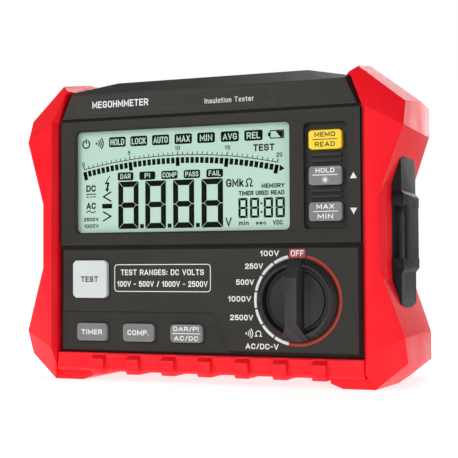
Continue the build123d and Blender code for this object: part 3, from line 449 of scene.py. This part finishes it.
class Print:
    """Flat shapes of one ink on one surface, gathered into one mesh."""

    def __init__(self, depth, turn=FRONT, thick=print_thick):
        self.work = bmesh.new()
        self.base, self.thick, self.turn = depth, thick, turn
        self.strokes = 0

    def shape(self, points):
        """A closed outline with straight sides."""
        rings = [[self.work.verts.new((x, y, self.base + lift)) for x, y in points]
                 for lift in (0.0, self.thick)]
        self.work.faces.new(rings[0])
        self.work.faces.new(rings[1])
        for i in range(len(points)):
            j = (i + 1) % len(points)
            self.work.faces.new((rings[0][i], rings[0][j], rings[1][j], rings[1][i]))

    def band(self, outer, inner):
        """The strip between two outlines with the same number of points."""
        rings = [[self.work.verts.new((x, y, self.base + lift)) for x, y in points]
                 for lift in (0.0, self.thick) for points in (outer, inner)]
        for i in range(len(outer)):
            j = (i + 1) % len(outer)
            for a, b in ((0, 1), (2, 3), (0, 2), (1, 3)):
                self.work.faces.new((rings[a][i], rings[a][j], rings[b][j], rings[b][i]))

    def bar(self, x, y, wide, high):
        self.shape([(x - wide / 2, y - high / 2), (x + wide / 2, y - high / 2),
                    (x + wide / 2, y + high / 2), (x - wide / 2, y + high / 2)])

    def stroke(self, points, wide, closed=False):
        """A ribbon of even width through points, mitred at every bend."""
        self.strokes += 1
        lift = self.base + 0.004 * (self.strokes % 6)
        count, rings = len(points), []
        for i, (x, y) in enumerate(points):
            before = points[i - 1] if closed or i else None
            after = points[(i + 1) % count] if closed or i < count - 1 else None
            ways = [Vector((b[0] - a[0], b[1] - a[1])).normalized()
                    for a, b in ((before, (x, y)), ((x, y), after)) if a and b]
            along = sum(ways, Vector((0, 0))).normalized()
            side = Vector((-along.y, along.x))
            reach = wide / 2 / max(0.45, abs(side.dot(Vector((-ways[0].y, ways[0].x)))))
            slide = Vector((0, 0)) if len(ways) == 2 else along * wide / 2 * (-1 if before is None else 1)
            rings.append([self.work.verts.new((x + slide.x + side.x * reach * way,
                                               y + slide.y + side.y * reach * way, lift + high))
                          for way, high in ((1, 0), (-1, 0), (-1, self.thick), (1, self.thick))])
        for i in range(count if closed else count - 1):
            here, there = rings[i], rings[(i + 1) % count]
            for k in range(4):
                self.work.faces.new((here[k], here[(k + 1) % 4], there[(k + 1) % 4], there[k]))
        if not closed:
            self.work.faces.new(rings[0])
            self.work.faces.new(rings[-1])

    def words(self, text, x, y, wide, high, weight=0.17):
        """Even-stroke lettering fitted into a box centred on x, y."""
        thick = weight * high
        spread = sum(GLYPHS[c][0] for c in text) + GLYPH_GAP * (len(text) - 1)
        scale = (wide - thick) / spread if spread else 0.0
        at = x - spread * scale / 2
        for c in text:
            glyph_wide, lines = GLYPHS[c]
            for style, points in lines:
                placed = [(at + px * scale, y + (py - 0.5) * (high - thick)) for px, py in points]
                if style != "line":
                    placed = softened(placed, style == "loop")
                self.stroke(placed, thick, closed=style == "loop")
            at += (glyph_wide + GLYPH_GAP) * scale

    def add_mesh(self, mesh):
        self.work.from_mesh(mesh)

    def done(self, name, material, body, slot):
        bmesh.ops.recalc_face_normals(self.work, faces=self.work.faces)
        mesh = bpy.data.meshes.new(name)
        self.work.to_mesh(mesh)
        self.work.free()
        mesh.transform(Matrix.Scale(MM, 4) @ self.turn)
        return finished(name, mesh, material, body)


def rounded(x, y, wide, high, corner, steps=5):
    """Outline of a rounded rectangle."""
    points = []
    for quarter, (sx, sy) in enumerate(((1, 1), (-1, 1), (-1, -1), (1, -1))):
        cx, cy = x + sx * (wide / 2 - corner), y + sy * (high / 2 - corner)
        for step in range(steps + 1):
            turn = math.radians(90 * (quarter + step / steps))
            points.append((cx + corner * math.cos(turn), cy + corner * math.sin(turn)))
    return points


def disc(x, y, radius, steps=24):
    return [(x + radius * math.cos(2 * math.pi * i / steps), y + radius * math.sin(2 * math.pi * i / steps))
            for i in range(steps)]


# =====================================================================
# geometry trees: marks along an arc
# =====================================================================
def arc_marks_tree():
    """Equal curved marks set round an arc: the dial's range ring and the display's scale."""
    tree = bpy.data.node_groups.new("arc_marks", "GeometryNodeTree")
    face = tree.interface
    face.new_socket("Geometry", in_out="OUTPUT", socket_type="NodeSocketGeometry")
    sizes = [("Count", "NodeSocketInt"), ("Radius", "NodeSocketFloat"), ("Start", "NodeSocketFloat"),
             ("Pitch", "NodeSocketFloat"), ("Sweep", "NodeSocketFloat"), ("Width", "NodeSocketFloat"),
             ("Thickness", "NodeSocketFloat"), ("Steps", "NodeSocketInt"), ("Centre", "NodeSocketVector"),
             ("Finish", "NodeSocketMaterial")]
    for label, kind in sizes:
        face.new_socket(label, in_out="INPUT", socket_type=kind)
    given = tree.nodes.new("NodeGroupInput").outputs
    add = node_adder(tree)

    arc = add("GeometryNodeCurveArc", {"Radius": given["Radius"], "Sweep Angle": given["Sweep"],
                                       "Resolution": given["Steps"], "Start Angle": 0.0})
    profile = add("GeometryNodeCurvePrimitiveQuadrilateral", {"Width": given["Width"],
                                                              "Height": given["Thickness"]})
    upright = add("GeometryNodeSetCurveNormal", {"Curve": arc.outputs["Curve"]}, mode="Z_UP")
    mark = add("GeometryNodeCurveToMesh", {"Curve": upright.outputs[0], "Profile Curve": profile.outputs[0],
                                           "Fill Caps": True})
    spots = add("GeometryNodePoints", {"Count": given["Count"]})
    index = add("GeometryNodeInputIndex")
    turned = add("ShaderNodeMath", {0: index.outputs[0], 1: given["Pitch"], 2: given["Start"]},
                 operation="MULTIPLY_ADD")
    spin = add("ShaderNodeCombineXYZ", {"Z": turned.outputs[0]})
    copies = add("GeometryNodeInstanceOnPoints", {"Points": spots.outputs[0], "Instance": mark.outputs[0],
                                                  "Rotation": spin.outputs[0]})
    real = add("GeometryNodeRealizeInstances", {"Geometry": copies.outputs[0]})
    placed = add("GeometryNodeTransform", {"Geometry": real.outputs[0], "Translation": given["Centre"]})
    painted = add("GeometryNodeSetMaterial", {"Geometry": placed.outputs[0], "Material": given["Finish"]})
    out = tree.nodes.new("NodeGroupOutput")
    tree.links.new(painted.outputs[0], out.inputs["Geometry"])
    return tree


ARC_MARKS = arc_marks_tree()


def grown(tree, name, **sizes):
    """Runs a geometry tree with named sizes and returns its plain mesh."""
    holder = bpy.data.objects.new(name + "_seed", bpy.data.meshes.new(name + "_seed"))
    bpy.context.collection.objects.link(holder)
    modifier = holder.modifiers.new("grow", "NODES")
    modifier.node_group = tree
    for item in tree.interface.items_tree:
        if item.item_type == "SOCKET" and item.in_out == "INPUT" and item.name in sizes:
            modifier[item.identifier] = sizes[item.name]
    bpy.context.view_layer.update()
    return baked(holder)


def arc_marks(printed, count, radius, start, pitch, sweep, width, centre, finish, steps=12):
    """Adds marks round an arc to a print; angles in degrees, from +X towards +Z."""
    mesh = grown(ARC_MARKS, "arc_marks", Count=count, Radius=radius, Start=math.radians(start),
                 Pitch=math.radians(pitch), Sweep=math.radians(sweep), Width=width,
                 Thickness=printed.thick, Steps=steps,
                 Centre=(centre[0], centre[1], printed.base + printed.thick / 2), Finish=finish)
    printed.add_mesh(mesh)
    bpy.data.meshes.remove(mesh)


# =====================================================================
# shells: these CAD nodes are shown as rounded copies, and the others keep their own meshes
# =====================================================================
for node in ("left_guard", "right_guard"):
    eased_node(node, 0.8, steps=4, corner_degrees=8)
eased_node("bottom_grip", 0.6, steps=3)
for node in ("left_strap_lug", "right_strap_lug"):
    eased_node(node, 0.5, steps=3)
eased_node("rotary_knob", 0.45, steps=3)
eased_node("socket_block", 0.3, steps=2)
eased_node("lead_sockets", 0.15, steps=2)
for node in ("test_button", "memory_button", "hold_button", "max_min_button", "timer_button",
             "compare_button", "ratio_button"):
    eased_node(node, 0.2, steps=2)
for node in ("case_screws", "door_screws"):
    eased_node(node, 0.12, steps=2)

shown_again = {piece_node for piece in bpy.data.objects for piece_node in piece.get("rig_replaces", [])}
for node, piece in NODES.items():
    if node not in shown_again:
        piece.data.materials.clear()
        piece.data.materials.append(FINISH[SLOT_OF[node]])

# =====================================================================
# printing on the front panel
# =====================================================================
white = Print(-panel_y)
# dial ring: seven range marks on the left
ring_r, ring_wide, range_pitch = 21.3, 1.8, 22.5
arc_marks(white, 7, ring_r, 102.4, range_pitch, 20.4, ring_wide, (dial_x, dial_z), INK_WHITE)
dial_legends = [("100V", 34.9, 64.8, 9.7), ("250V", 26.8, 58.6, 9.3), ("500V", 22.1, 50.8, 9.4),
                ("1000V", 19.2, 42.6, 12.0), ("2500V", 20.2, 33.5, 12.0), ("AC/DC-V", 30.7, 19.6, 17.0)]
legend_high = 2.7
for text, x, z, wide in dial_legends:
    white.words(text, x, z, wide, legend_high, weight=0.19)


def sound_waves(printed, x, z, size, wide):
    """A dot and three widening arcs."""
    printed.shape(disc(x, z, size * 0.10, 12))
    for step in range(3):
        radius = size * (0.30 + 0.22 * step)
        points = [(x + radius * math.cos(math.radians(a)), z + radius * math.sin(math.radians(a)))
                  for a in range(-40, 41, 16)]
        printed.stroke(points, wide)


def ohm_sign(printed, x, z, wide, high, thick):
    """The ohm sign as one bent stroke."""
    radius = wide * 0.38
    centre_z = z + high / 2 - radius - thick / 2
    bow = [(x + radius * math.cos(math.radians(a)), centre_z + radius * math.sin(math.radians(a)))
           for a in range(-52, 233, 12)]
    foot = z - high / 2 + thick / 2
    printed.stroke([(x + wide / 2, foot), (x + radius * 0.55, foot), *bow, (x - radius * 0.55, foot),
                    (x - wide / 2, foot)], thick)


sound_waves(white, 22.6, 25.8, 4.6, 0.42)
ohm_sign(white, 28.9, 25.8, 3.4, 3.0, 0.48)
# range frame beside the test key
frame_x, frame_z, frame_wide, frame_high = -22.7, 52.8, 53.4, 14.0
white.band(rounded(frame_x, frame_z, frame_wide, frame_high, 1.8),
           rounded(frame_x, frame_z, frame_wide - 0.8, frame_high - 0.8, 1.4))
white.words("TEST RANGES: DC VOLTS", frame_x, frame_z + 2.9, 46.0, 2.9)
white.words("100V - 500V / 1000V - 2500V", frame_x, frame_z - 3.0, 50.0, 2.9)
# scroll arrows beside the tall key well
arrow_x, arrow_half, arrow_rise = 77.1, 1.7, 1.5
for z, way in ((101.5, 1), (84.5, -1)):
    white.shape([(arrow_x - arrow_half, z - arrow_rise * way), (arrow_x + arrow_half, z - arrow_rise * way),
                 (arrow_x, z + arrow_rise * way)])
white.done("panel_white_print", INK_WHITE, "housing", "case_plastic")

red = Print(-panel_y)
arc_marks(red, 1, ring_r, -102.0, 0.0, 179.0, ring_wide, (dial_x, dial_z), INK_RED, steps=64)
red.bar(dial_x, 64.6, 8.0, 4.4)
red.done("panel_red_print", INK_RED, "housing", "case_plastic")
off = Print(-panel_y + print_thick)
off.words("OFF", dial_x, 64.7, 6.6, 3.0)
off.done("off_legend", INK_WHITE, "housing", "case_plastic")

# sockets: a coloured ring and a letter at each
spots = [(mount["pos_m"][0] / MM, mount["pos_m"][1] / MM) for mount in frame["record"]["mounts"]
         if mount["kind"] == "bore"]
socket_letters = "LGEV"
for (x, y), letter, colour in zip(spots, socket_letters, (INK_RED, INK_WHITE, INK_GREEN, INK_YELLOW)):
    ring = Print(hood_top, turn=TOP)
    ring.band(disc(x, y, 6.6, 40), disc(x, y, 5.4, 40))
    ring.done("socket_ring_" + letter, colour, "housing", "lug_plastic")
letters = Print(hood_top, turn=TOP)
for (x, y), letter in zip(spots, socket_letters):
    letters.words(letter, x, y - 11.0, 2.8, 3.8)
letters.done("socket_letters", INK_WHITE, "housing", "case_plastic")

# knob: a small pointer on the sloping upper end of the bar
knob_front = -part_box("rotary_knob")[0][1] / MM
slope_start, slope_run = 11.0, 8.7          # start above the knob's middle, and length from there
slope_foot = 37.5                           # how far in front of the parting the slope ends
slope = math.atan2(knob_front - slope_foot, slope_run)
TIP = (Matrix.Translation((dial_x * MM, -knob_front * MM, (dial_z + slope_start) * MM))
       @ Matrix.Rotation(slope, 4, "X").inverted() @ Matrix.Translation((-dial_x * MM, 0, 0)) @ FRONT)
pointer_half, pointer_low, pointer_tip = 1.3, 3.4, 6.0
pointer = Print(0.02, turn=TIP, thick=0.05)
pointer.shape([(dial_x - pointer_half, pointer_low), (dial_x + pointer_half, pointer_low),
               (dial_x, pointer_tip)])
pointer.done("knob_pointer", INK_GREY, "knob", "knob_plastic")

# hood: a thin dark line of painted shade where the name plate's outline is a groove, and plain words
hood_face = 35.0
plate = Print(hood_face, thick=0.03)
outer = [(-70.4, 138.2), (38.7, 138.0), (35.5, 146.2), (-68.0, 145.9)]
inner = [(-69.9, 138.5), (38.3, 138.3), (35.2, 145.9), (-67.7, 145.6)]
plate.band(outer, inner)
plate.done("name_plate_groove_shade", INK_DARK, "housing", "case_plastic")
hood = Print(hood_face)
hood.words("MEGOHMMETER", -45.5, 142.3, 32.0, 3.5, weight=0.17)
hood.words("Insulation Tester", 14.5, 140.8, 26.0, 2.6, weight=0.12)
hood.done("hood_print", INK_WHITE, "housing", "case_plastic")

# =====================================================================
# display segments
# =====================================================================
lcd = Print(-glass_face, thick=0.05)


def pill(text, x, z, wide, high, letter):
    """A dark rounded block with paler letters printed over it."""
    lcd.shape(rounded(x, z, wide, high, 0.9, 3))
    pale.words(text, x, z, wide * letter, high * 0.62)


pale = Print(-glass_face + 0.05, thick=0.03)
row_z = 123.1
for text, x, letter in (("HOLD", -49.4, 0.84), ("LOCK", -37.1, 0.84), ("AUTO", -24.8, 0.84),
                        ("MAX", -12.2, 0.78), ("MIN", 0.3, 0.70), ("AVG", 13.1, 0.78), ("REL", 25.6, 0.74)):
    pill(text, x, row_z, 9.6, 5.2, letter)
for text, x, letter in (("DAR", -44.7, 0.66), ("PI", -32.3, 0.34), ("COMP", -19.9, 0.86),
                        ("PASS", -7.5, 0.8), ("FAIL", 4.9, 0.72)):
    pill(text, x, 105.1, 9.0, 4.2, letter)
pale.done("display_pale_letters", FINISH["display_glass"], "housing", "display_glass")

# power sign, sound waves and battery
power_x, power_z, power_r, power_wide = -67.6, 122.6, 2.0, 0.72
power = [(power_x + power_r * math.cos(math.radians(a)), power_z + power_r * math.sin(math.radians(a)))
         for a in range(125, 416, 15)]
lcd.stroke(power, power_wide)
lcd.bar(power_x, 124.2, power_wide, 2.4)
sound_waves(lcd, -61.6, 122.7, 5.4, 0.6)
lcd.band(rounded(37.8, row_z, 7.4, 4.2, 0.5, 2), rounded(37.8, row_z, 6.4, 3.2, 0.3, 2))
lcd.bar(33.7, row_z, 1.0, 1.8)
lcd.shape([(37.2, row_z + 1.5), (40.9, row_z + 1.5), (40.9, row_z - 1.5), (39.6, row_z - 1.5)])
# curved scale
scale_r, scale_x, scale_top = 253.5, -15.3, 115.0
scale_centre = (scale_x, scale_top - scale_r)
half_turn = 12.15
unit = 2 * half_turn / 40
for count, pitch, radius, sweep, width in ((1, 0, scale_r, 2 * half_turn, 0.36),
                                           (41, unit, scale_r + 0.8, 0.08, 1.6),
                                           (5, 10 * unit, scale_r + 0.95, 0.11, 1.9),
                                           (41, unit, scale_r - 2.7, unit * 0.72, 3.0),
                                           (5, 10 * unit, scale_r - 3.4, unit * 0.76, 4.4)):
    start = 90 - half_turn - (sweep / 2 if count > 1 else 0)
    arc_marks(lcd, count, radius, start, pitch, sweep, width, scale_centre, INK_SEGMENT,
              steps=48 if count == 1 else 2)
lcd.shape([(39.3, 108.1), (41.6, 106.1), (38.9, 104.9)])
for text, x, z, wide in (("0", -69.2, 112.2, 1.4), ("5", -42.6, 117.2, 1.4), ("10", -15.4, 118.6, 2.8),
                         ("15", 11.8, 117.6, 2.8), ("20", 39.0, 113.0, 3.0)):
    lcd.words(text, x, z, wide, 2.1)
lcd.words("TEST", 31.0, 116.9, 11.0, 3.4, weight=0.2)
# left column
column_x, sign_x = -64.8, -55.4
lcd.words("DC", column_x, 99.4, 5.6, 3.4, weight=0.21)
lcd.bar(column_x, 96.4, 5.8, 0.5)
for step in (-1, 0, 1):
    lcd.bar(column_x + 2.1 * step, 95.0, 1.4, 0.5)
lcd.words("AC", column_x, 90.3, 5.6, 3.3, weight=0.21)
lcd.stroke([(-67.3, 86.9), (-66.3, 87.7), (-65.3, 87.5), (-64.2, 86.8), (-63.2, 86.8), (-62.3, 87.5)], 0.5)
lcd.words("2500V", -64.7, 83.2, 8.8, 1.9, weight=0.21)
lcd.words("1000V", -64.6, 79.8, 8.6, 1.9, weight=0.21)
lcd.shape([(-54.1, 105.6), (-56.9, 101.4), (-55.3, 101.4), (-55.9, 98.9), (-56.6, 98.9), (-55.2, 97.2),
           (-54.2, 98.9), (-54.9, 98.9), (-54.0, 102.3), (-55.6, 102.3), (-53.6, 105.6)])
for z, way in ((94.9, -1), (84.7, 1)):
    lcd.stroke([(sign_x - 2.1 * way, z + 2.3), (sign_x + 2.1 * way, z), (sign_x - 2.1 * way, z - 2.3)], 0.75)
lcd.bar(sign_x, 90.0, 5.8, 2.4)


def seven_segments(x, z, wide, high, thick, slit):
    """One figure eight made of seven bevel-ended segments."""
    left, right = x - wide / 2, x + wide / 2
    low, top = z - high / 2, z + high / 2
    for side, way in ((low, 1), (top, -1)):
        lcd.shape([(left + slit, side), (right - slit, side), (right - thick - slit, side + way * thick),
                   (left + thick + slit, side + way * thick)])
        near = z - way * thick / 2 - way * slit
        for edge, inward in ((left, 1), (right, -1)):
            lcd.shape([(edge, side + way * slit), (edge, z - way * slit),
                       (edge + inward * thick * 0.5, z - way * slit),
                       (edge + inward * thick, near),
                       (edge + inward * thick, side + way * (thick + slit))])
    half = thick / 2
    lcd.shape([(left + half + slit, z), (left + thick + slit, z - half), (right - thick - slit, z - half),
               (right - half - slit, z), (right - thick - slit, z + half), (left + thick + slit, z + half)])


for x in (-43.1, -27.7, -12.1, 3.5):
    seven_segments(x, 90.2, 11.6, 24.4, 2.8, 0.16)
for x in (-35.4, -19.9, -4.3):
    lcd.bar(x, 79.3, 2.1, 2.1)
for x in (19.9, 26.0, 33.2, 39.3):
    seven_segments(x, 87.3, 4.8, 9.9, 1.15, 0.1)
for z in (85.2, 89.4):
    lcd.bar(29.6, z, 0.9, 0.9)
lcd.words("GMk", 15.6, 99.9, 9.2, 4.0, weight=0.19)
ohm_sign(lcd, 23.2, 99.9, 3.6, 4.2, 0.6)
lcd.words("MEMORY", 35.6, 98.0, 11.8, 2.2, weight=0.21)
lcd.words("TIMER USED READ", 29.6, 94.6, 23.8, 2.2, weight=0.21)
for text, x, high in (("min", 20.3, 2.2), ("sec", 29.3, 1.8), ("VDC", 38.0, 2.2)):
    lcd.words(text, x, 79.9, 5.2, high, weight=0.2)
lcd.words("V", 12.2, 80.6, 3.3, 4.2, weight=0.16)
lcd.done("display_segments", INK_SEGMENT, "housing", "display_glass")


# =====================================================================
# key legends, each on its own key
# =====================================================================
line_rise = 2.35                            # from a key's middle to each of two lines
flange = 2.4                                # width of a key's box that its hidden flange takes up


def key_face(node):
    """The middle of a key's top face, its width, and an empty print lying on it."""
    low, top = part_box(node)
    x, z = (low[0] + top[0]) / 2 / MM, (low[2] + top[2]) / 2 / MM
    return x, z, (top[0] - low[0]) / MM - flange, Print(-low[1] / MM - 0.01, thick=0.05)


def key_legend(node, lines, material, wide=0.74, high=2.3):
    """One word on a key's top face, or two with a rule between them."""
    x, z, span, legend = key_face(node)
    rises = [0.0] if len(lines) == 1 else [line_rise, -line_rise]
    for (text, share), rise in zip(lines, rises):
        legend.words(text, x, z + rise, span * share, high, weight=0.2)
    if len(lines) == 2:
        legend.bar(x, z, span * wide, 0.4)
    legend.done(node.replace("_button", "_legend"), material, BODY_OF[node], SLOT_OF[node])


key_legend("test_button", [("TEST", 0.50)], INK_DARK, high=2.9)
key_legend("memory_button", [("MEMO", 0.62), ("READ", 0.60)], INK_BROWN)
key_legend("max_min_button", [("MAX", 0.52), ("MIN", 0.46)], INK_WHITE)
key_legend("timer_button", [("TIMER", 0.68)], INK_WHITE, high=2.6)
key_legend("compare_button", [("COMP.", 0.68)], INK_WHITE, high=2.6)
key_legend("ratio_button", [("DAR/PI", 0.78), ("AC/DC", 0.74)], INK_WHITE, wide=0.86)


def hold_legend():
    """HOLD over a small lamp sign."""
    x, z, _, legend = key_face("hold_button")
    legend.words("HOLD", x, z + line_rise, 9.4, 2.3, weight=0.2)
    legend.bar(x, z + 0.2, 12.4, 0.4)
    lamp_drop, lamp_r, ray_start, ray_end = 2.2, 0.85, 1.15, 1.65
    legend.shape(disc(x, z - lamp_drop, lamp_r, 16))
    for step in range(8):
        turn = math.radians(45 * step)
        legend.stroke([(x + ray_start * math.cos(turn), z - lamp_drop + ray_start * math.sin(turn)),
                       (x + ray_end * math.cos(turn), z - lamp_drop + ray_end * math.sin(turn))], 0.3)
    legend.done("hold_legend", INK_WHITE, BODY_OF["hold_button"], SLOT_OF["hold_button"])


hold_legend()

# =====================================================================
# camera, floor and light
# =====================================================================
camera_place = (0.2131, -0.54385, 0.06024)
yaw, pitch, roll = 0.3726, 0.0305, -0.005  # radians, from straight ahead of the front panel
ahead = Vector((-math.sin(yaw) * math.cos(pitch), math.cos(yaw) * math.cos(pitch), math.sin(pitch)))
level = Vector((math.cos(yaw), math.sin(yaw), 0))
above = level.cross(ahead)
right = math.cos(roll) * level + math.sin(roll) * above
upward = -math.sin(roll) * level + math.cos(roll) * above
camera_data = bpy.data.cameras.new("camera")
camera_data.sensor_width = 36.0
camera_data.lens = 87.36
camera_data.clip_start, camera_data.clip_end = 0.01, 20.0
camera = bpy.data.objects.new("camera", camera_data)
bpy.context.collection.objects.link(camera)
facing = Matrix((right, upward, -ahead)).transposed()
camera.matrix_world = Matrix.Translation(camera_place) @ facing.to_4x4()
scene = bpy.context.scene
scene.camera = camera
scene.view_settings.view_transform = "Standard"


def studio_floor():
    """A pale, plain sheet to stand on."""
    mesh = bpy.data.meshes.new("studio_floor")
    half = 0.55
    mesh.from_pydata([(-half, -half, 0), (half, -half, 0), (half, half, 0), (-half, half, 0)], [],
                     [(0, 1, 2, 3)])
    floor = bpy.data.objects.new("studio_floor", mesh)
    bpy.context.collection.objects.link(floor)
    material, shader, add, join = start_finish("floor_pale")
    speck = add("ShaderNodeTexNoise", {"Vector": add("ShaderNodeTexCoord").outputs["Object"], "Scale": 3.0})
    gloss = add("ShaderNodeMapRange", {"Value": speck.outputs["Fac"], "To Min": 0.75, "To Max": 0.85})
    join(gloss.outputs[0], shader.inputs["Roughness"])
    shader.inputs["Base Color"].default_value = (0.55, 0.55, 0.55, 1)
    shader.inputs["Emission Color"].default_value = (1, 1, 1, 1)
    set_plain(shader, specular=0.05, glow=0.78)
    mesh.materials.append(material)
    floor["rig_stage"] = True


def soft_lamp(name, place, target, size, power):
    """A large square lamp aimed at a point."""
    light = bpy.data.lights.new(name, "AREA")
    light.shape = "SQUARE"
    light.size = size
    light.energy = power
    lamp = bpy.data.objects.new(name, light)
    bpy.context.collection.objects.link(lamp)
    lamp.location = place
    aim = Vector(target) - Vector(place)
    lamp.rotation_mode = "QUATERNION"
    lamp.rotation_quaternion = aim.to_track_quat("-Z", "Y")


studio_floor()
world = bpy.data.worlds.new("white_tent")
world.use_nodes = True
sky = world.node_tree
backdrop = sky.nodes["Background"]
backdrop.inputs["Color"].default_value = (1, 1, 1, 1)
# white where the camera sees it, and dim as a source of light
seen = sky.nodes.new("ShaderNodeLightPath")
dim = sky.nodes.new("ShaderNodeMapRange")
dim.inputs["To Min"].default_value, dim.inputs["To Max"].default_value = 0.20, 1.0
sky.links.new(seen.outputs["Is Camera Ray"], dim.inputs["Value"])
sky.links.new(dim.outputs[0], backdrop.inputs["Strength"])
scene.world = world
middle = (0, 0, 0.08)
soft_lamp("front_left_lamp", (-0.60, -0.95, 0.65), middle, 0.6, 6.5)
soft_lamp("front_right_lamp", (1.00, -0.55, 0.20), middle, 0.5, 1.6)
soft_lamp("low_front_lamp", (0.10, -1.10, 0.12), middle, 0.5, 1.8)
soft_lamp("back_lamp", (0.30, 1.10, 0.45), middle, 0.5, 3.0)
soft_lamp("floor_lamp", (0.0, 0.90, 0.95), (0, 0.40, 0), 0.5, 8.0)

low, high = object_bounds()
